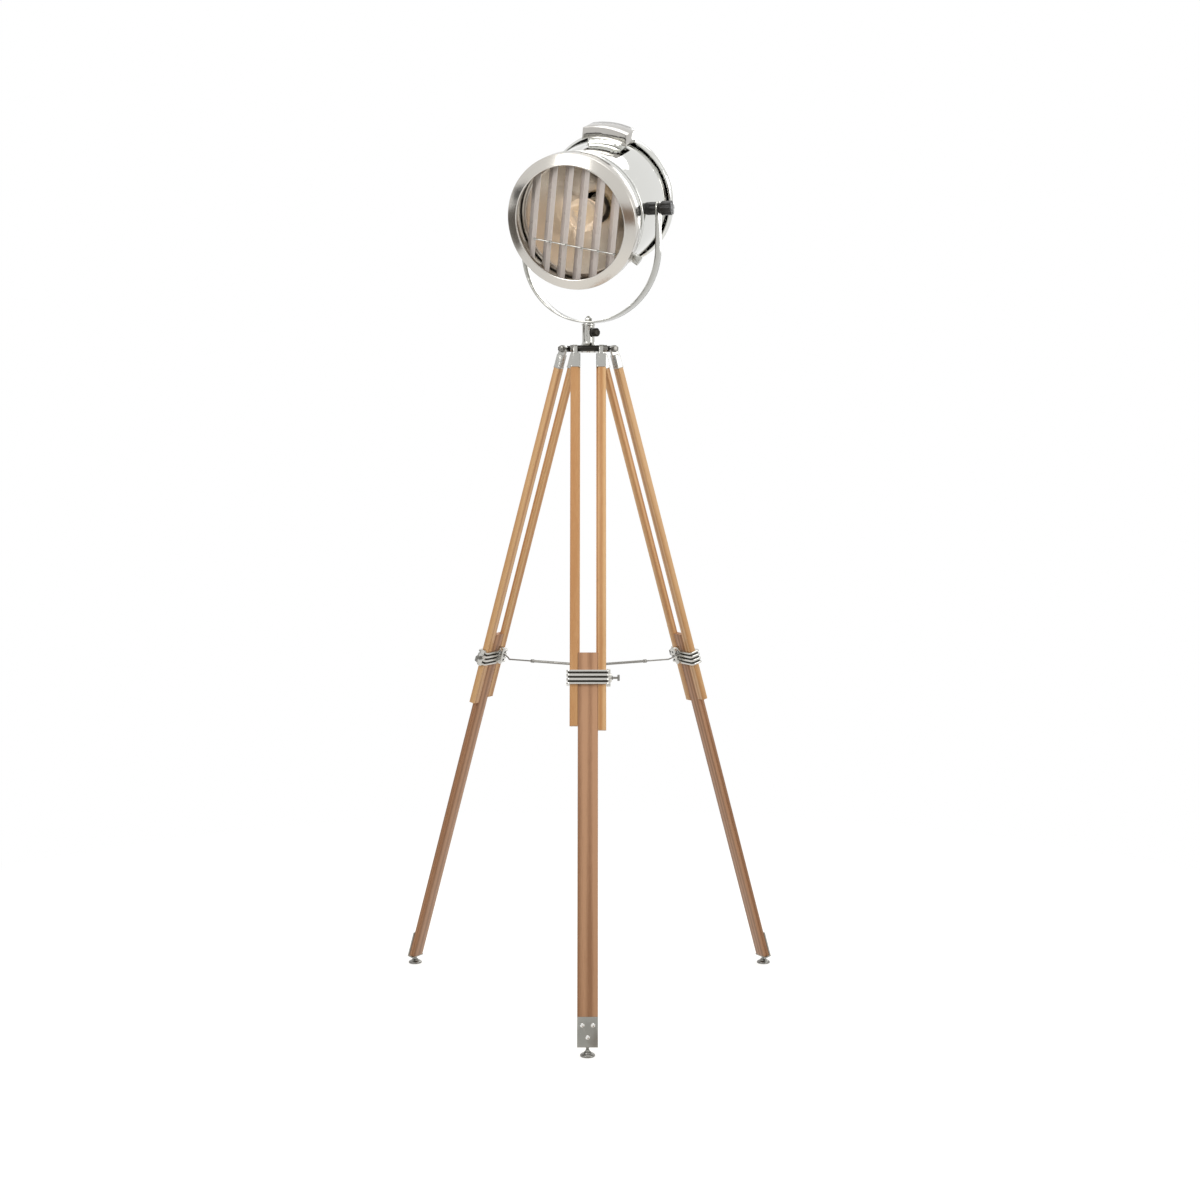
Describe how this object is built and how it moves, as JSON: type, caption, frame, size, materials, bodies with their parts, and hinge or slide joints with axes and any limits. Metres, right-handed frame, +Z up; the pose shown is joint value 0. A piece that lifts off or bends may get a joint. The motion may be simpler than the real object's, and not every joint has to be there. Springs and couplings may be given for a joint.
{
  "type": "floor lamp",
  "caption": "Tripod spotlight floor lamp: a shuttered metal lamp head tilts in a strip yoke on a folding wooden stand with telescoping legs.",
  "frame": {"origin": "on the floor at the middle of the stand footprint box", "axes": "+Z up, -Y towards the front leg, +X to the right seen from the front"},
  "size_m": [0.7088, 0.6211, 1.5994],
  "materials": {
    "light_oak": "satin oil",
    "oiled_oak": "satin oil",
    "polished_nickel": "polished",
    "dark_nickel": "worn plating",
    "black_phenolic": "moulded",
    "mirror_aluminium": "mirror polished",
    "turned_aluminium": "fine turned",
    "blade_aluminium": "satin polished",
    "reflector_aluminium": "satin anodised",
    "white_ceramic": "glazed",
    "nickel_brass": "bare",
    "lamp_glass": "clear warm"
  },
  "bodies": {
    "stand_hub": {"tripod_hub": "polished_nickel", "hinge_bolts": "dark_nickel"},
    "pan_lock": {"pan_lock_knob": "dark_nickel"},
    "leg_front": {"left_rail_front": "light_oak", "right_rail_front": "light_oak", "ferrules_front": "polished_nickel", "leg_clamp_front": "polished_nickel"},
    "lower_front": {"lower_leg_front": "oiled_oak", "shoe_front": "polished_nickel"},
    "pad_front": {"foot_front": "dark_nickel"},
    "clamp_screw_front": {"thumbscrew_front": "dark_nickel"},
    "rod_front": {"spreader_rod_front": "dark_nickel"},
    "leg_right": {"left_rail_right": "light_oak", "right_rail_right": "light_oak", "ferrules_right": "polished_nickel", "leg_clamp_right": "polished_nickel"},
    "lower_right": {"lower_leg_right": "oiled_oak", "shoe_right": "polished_nickel"},
    "pad_right": {"foot_right": "dark_nickel"},
    "clamp_screw_right": {"thumbscrew_right": "dark_nickel"},
    "rod_right": {"spreader_rod_right": "dark_nickel"},
    "leg_left": {"left_rail_left": "light_oak", "right_rail_left": "light_oak", "ferrules_left": "polished_nickel", "leg_clamp_left": "polished_nickel"},
    "lower_left": {"lower_leg_left": "oiled_oak", "shoe_left": "polished_nickel"},
    "pad_left": {"foot_left": "dark_nickel"},
    "clamp_screw_left": {"thumbscrew_left": "dark_nickel"},
    "rod_left": {"spreader_rod_left": "dark_nickel"},
    "spreader": {"spreader_hub": "dark_nickel", "spreader_tubes": "dark_nickel"},
    "yoke": {"yoke": "polished_nickel", "swivel_post": "polished_nickel"},
    "head": {"tilt_bushes": "black_phenolic", "drum_shell": "mirror_aluminium", "front_collar": "mirror_aluminium", "rear_cover": "mirror_aluminium", "cord_gland": "black_phenolic", "vent_cap": "mirror_aluminium", "vent_throat": "mirror_aluminium", "vent_screws": "polished_nickel", "reflector": "reflector_aluminium", "lampholder": "white_ceramic", "bulb_cap": "nickel_brass", "bulb_glass": "lamp_glass", "door_hinge": "polished_nickel", "catch_stud": "polished_nickel"},
    "knob_left": {"tilt_knob_left": "black_phenolic"},
    "knob_right": {"tilt_knob_right": "black_phenolic"},
    "door": {"bezel": "turned_aluminium", "shutter_band": "turned_aluminium"},
    "door_catch": {"catch_nut": "polished_nickel"},
    "blade_1": {"slat_1": "blade_aluminium"},
    "blade_2": {"slat_2": "blade_aluminium"},
    "blade_3": {"slat_3": "blade_aluminium"},
    "blade_4": {"slat_4": "blade_aluminium"},
    "blade_5": {"slat_5": "blade_aluminium"},
    "blade_6": {"slat_6": "blade_aluminium"},
    "tie": {"tie_bar": "polished_nickel"}
  },
  "joints": [
    {"name": "pan", "type": "hinge", "parent": "stand_hub", "child": "yoke", "pos_m": [0, 0.09585, 1.2349], "axis": [0, 0, 1], "range_deg": [-175, 175]},
    {"name": "pan_lock_turn", "type": "hinge", "parent": "stand_hub", "child": "pan_lock", "pos_m": [0.009, 0.08512, 1.219], "axis": [0.6428, -0.766, 0], "range_deg": [0, 270]},
    {"name": "fold_front", "type": "hinge", "parent": "stand_hub", "child": "leg_front", "pos_m": [0, 0.05685, 1.19], "axis": [1, 0, 0], "range_deg": [0, 4.6]},
    {"name": "extend_front", "type": "slide", "parent": "leg_front", "child": "lower_front", "axis": [0, -0.2874, -0.9578], "range_m": [-0.44, 0.02]},
    {"name": "foot_tilt_front", "type": "hinge", "parent": "lower_front", "child": "pad_front", "pos_m": [0, -0.29755, 0.00872], "axis": [1, 0, 0], "range_deg": [-10, 10]},
    {"name": "clamp_screw_turn_front", "type": "hinge", "parent": "leg_front", "child": "clamp_screw_front", "pos_m": [0.04375, -0.11499, 0.61722], "axis": [1, 0, 0], "range_deg": [0, 270]},
    {"name": "fold_right", "type": "hinge", "parent": "stand_hub", "child": "leg_right", "pos_m": [0.03377, 0.11535, 1.19], "axis": [-0.5, 0.866, 0], "range_deg": [0, 4.6]},
    {"name": "extend_right", "type": "slide", "parent": "leg_right", "child": "lower_right", "axis": [0.2489, 0.1437, -0.9578], "range_m": [-0.44, 0.02]},
    {"name": "foot_tilt_right", "type": "hinge", "parent": "lower_right", "child": "pad_right", "pos_m": [0.3407, 0.29255, 0.00872], "axis": [-0.5, 0.866, 0], "range_deg": [-10, 10]},
    {"name": "clamp_screw_turn_right", "type": "hinge", "parent": "leg_right", "child": "clamp_screw_right", "pos_m": [0.16072, 0.23916, 0.61722], "axis": [-0.5, 0.866, 0], "range_deg": [0, 270]},
    {"name": "fold_left", "type": "hinge", "parent": "stand_hub", "child": "leg_left", "pos_m": [-0.03377, 0.11535, 1.19], "axis": [-0.5, -0.866, 0], "range_deg": [0, 4.6]},
    {"name": "extend_left", "type": "slide", "parent": "leg_left", "child": "lower_left", "axis": [-0.2489, 0.1437, -0.9578], "range_m": [-0.44, 0.02]},
    {"name": "foot_tilt_left", "type": "hinge", "parent": "lower_left", "child": "pad_left", "pos_m": [-0.3407, 0.29255, 0.00872], "axis": [-0.5, -0.866, 0], "range_deg": [-10, 10]},
    {"name": "clamp_screw_turn_left", "type": "hinge", "parent": "leg_left", "child": "clamp_screw_left", "pos_m": [-0.20447, 0.16338, 0.61722], "axis": [-0.5, -0.866, 0], "range_deg": [0, 270]},
    {"name": "spreader_drop", "type": "slide", "parent": "stand_hub", "child": "spreader", "axis": [0, 0, -1], "range_m": [0, 0.0123]},
    {"name": "rod_in_front", "type": "slide", "parent": "spreader", "child": "rod_front", "axis": [0, 1, 0], "range_m": [0, 0.0477]},
    {"name": "rod_in_right", "type": "slide", "parent": "spreader", "child": "rod_right", "axis": [-0.866, -0.5, 0], "range_m": [0, 0.0477]},
    {"name": "rod_in_left", "type": "slide", "parent": "spreader", "child": "rod_left", "axis": [0.866, -0.5, 0], "range_m": [0, 0.0477]},
    {"name": "head_tilt", "type": "hinge", "parent": "yoke", "child": "head", "pos_m": [0.00466, 0.09402, 1.437], "axis": [0.9311, -0.3649, 0], "range_deg": [-60, 43]},
    {"name": "tilt_knob_turn_left", "type": "hinge", "parent": "head", "child": "knob_left", "pos_m": [-0.12942, 0.14657, 1.437], "axis": [-0.9311, 0.3649, 0], "range_deg": [0, 270]},
    {"name": "tilt_knob_turn_right", "type": "hinge", "parent": "head", "child": "knob_right", "pos_m": [0.13873, 0.04148, 1.437], "axis": [0.9311, -0.3649, 0], "range_deg": [0, 270]},
    {"name": "door_open", "type": "hinge", "parent": "head", "child": "door", "pos_m": [-0.13845, 0.07026, 1.43093], "axis": [-0.0106, 0.3069, -0.9517], "range_deg": [0, 105]},
    {"name": "catch_turn", "type": "hinge", "parent": "head", "child": "door_catch", "pos_m": [0.08336, 0.02125, 1.34698], "axis": [0.8059, -0.1323, -0.577], "range_deg": [0, 270]},
    {"name": "blade_turn_1", "type": "hinge", "parent": "door", "child": "blade_1", "pos_m": [-0.0957, 0.039, 1.42724], "axis": [0.0922, -0.3345, 0.9379], "range_deg": [-46, 38]},
    {"name": "blade_turn_2", "type": "hinge", "parent": "door", "child": "blade_2", "pos_m": [-0.06773, 0.02994, 1.42126], "axis": [0.0922, -0.3345, 0.9379], "range_deg": [-46, 38]},
    {"name": "blade_turn_3", "type": "hinge", "parent": "door", "child": "blade_3", "pos_m": [-0.03977, 0.02089, 1.41528], "axis": [0.0922, -0.3345, 0.9379], "range_deg": [-46, 38]},
    {"name": "blade_turn_4", "type": "hinge", "parent": "door", "child": "blade_4", "pos_m": [-0.0118, 0.01183, 1.4093], "axis": [0.0922, -0.3345, 0.9379], "range_deg": [-46, 38]},
    {"name": "blade_turn_5", "type": "hinge", "parent": "door", "child": "blade_5", "pos_m": [0.01617, 0.00277, 1.40332], "axis": [0.0922, -0.3345, 0.9379], "range_deg": [-46, 38]},
    {"name": "blade_turn_6", "type": "hinge", "parent": "door", "child": "blade_6", "pos_m": [0.04414, -0.00629, 1.39734], "axis": [0.0922, -0.3345, 0.9379], "range_deg": [-46, 38]},
    {"name": "tie_turn", "type": "hinge", "parent": "blade_1", "child": "tie", "pos_m": [-0.09416, 0.03682, 1.3826], "axis": [0.0922, -0.3345, 0.9379], "range_deg": [-38, 46]}
  ],
  "couplings": [
    {"joint": "fold_right", "follows": "fold_front", "ratio": 1},
    {"joint": "fold_left", "follows": "fold_front", "ratio": 1},
    {"joint": "spreader_drop", "follows": "fold_front", "m_per_rad": 0.12851},
    {"joint": "rod_in_front", "follows": "fold_front", "m_per_rad": 0.56927},
    {"joint": "rod_in_right", "follows": "fold_front", "m_per_rad": 0.56927},
    {"joint": "rod_in_left", "follows": "fold_front", "m_per_rad": 0.56927},
    {"joint": "blade_turn_2", "follows": "blade_turn_1", "ratio": 1},
    {"joint": "blade_turn_3", "follows": "blade_turn_1", "ratio": 1},
    {"joint": "blade_turn_4", "follows": "blade_turn_1", "ratio": 1},
    {"joint": "blade_turn_5", "follows": "blade_turn_1", "ratio": 1},
    {"joint": "blade_turn_6", "follows": "blade_turn_1", "ratio": 1},
    {"joint": "tie_turn", "follows": "blade_turn_1", "ratio": -1}
  ]
}
